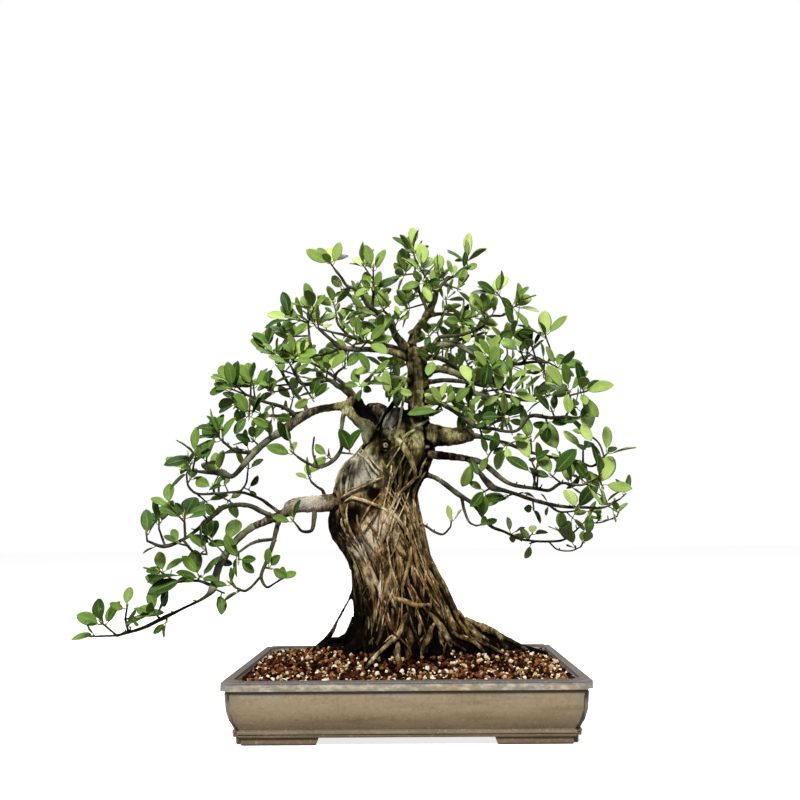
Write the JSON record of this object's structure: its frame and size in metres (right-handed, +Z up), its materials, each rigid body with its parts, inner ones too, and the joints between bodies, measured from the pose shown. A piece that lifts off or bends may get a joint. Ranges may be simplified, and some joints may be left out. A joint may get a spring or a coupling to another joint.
{
  "type": "bonsai tree in a tray",
  "caption": "Green island ficus bonsai with fused aerial roots, spreading leafy branches and round leaves, growing in a rectangular footed tray with cut-in corners.",
  "frame": {"origin": "middle of the bottom of the whole part, on the surface that the feet of the tray stand on", "axes": "+Z up, +X along the tray to the right seen from the front, the front of the tree looks along -Y"},
  "size_m": [0.8934, 0.4164, 0.8154],
  "materials": {
    "tray_clay": "matt unglazed clay, taupe grey, a little browner towards the foot",
    "soil": "loose baked clay and pumice grains",
    "screen": "black plastic mesh",
    "bark": "living bark with fused aerial roots, beige to olive brown",
    "leaf": "smooth waxy living leaves on thin woody twigs"
  },
  "bodies": {
    "root": {"pot": "tray_clay", "soil": "soil", "drain_screen_left": "screen", "drain_screen_right": "screen", "trunk": "bark", "spray_left_tail": "leaf", "spray_left_arc": "leaf", "spray_left_wire": "leaf", "spray_left_down": "leaf", "spray_left_over": "leaf", "spray_left_outer": "leaf", "spray_left_fan": "leaf", "spray_left_rise": "leaf", "spray_hang_down": "leaf", "spray_mid_tangle": "leaf", "spray_apex_left": "leaf", "spray_apex_inner": "leaf", "spray_apex_top": "leaf", "spray_apex_right": "leaf", "spray_apex_side": "leaf", "spray_left_crown": "leaf", "spray_left_top": "leaf", "spray_left_far": "leaf", "spray_left_mid": "leaf", "spray_right_upper": "leaf", "spray_right_mid": "leaf", "spray_right_dark": "leaf", "spray_right_top": "leaf", "spray_right_high": "leaf", "spray_right_cross": "leaf", "spray_right_long": "leaf", "spray_right_low": "leaf", "spray_right_spread": "leaf", "spray_right_lowest": "leaf", "spray_front_loop": "leaf", "spray_column_front": "leaf", "spray_back_outer_left": "leaf", "spray_back_left": "leaf", "spray_back_middle": "leaf", "spray_back_top_left": "leaf", "spray_back_top": "leaf", "spray_back_right_high": "leaf", "spray_back_right": "leaf", "spray_back_right_low": "leaf", "spray_back_low": "leaf"}
  },
  "joints": []
}
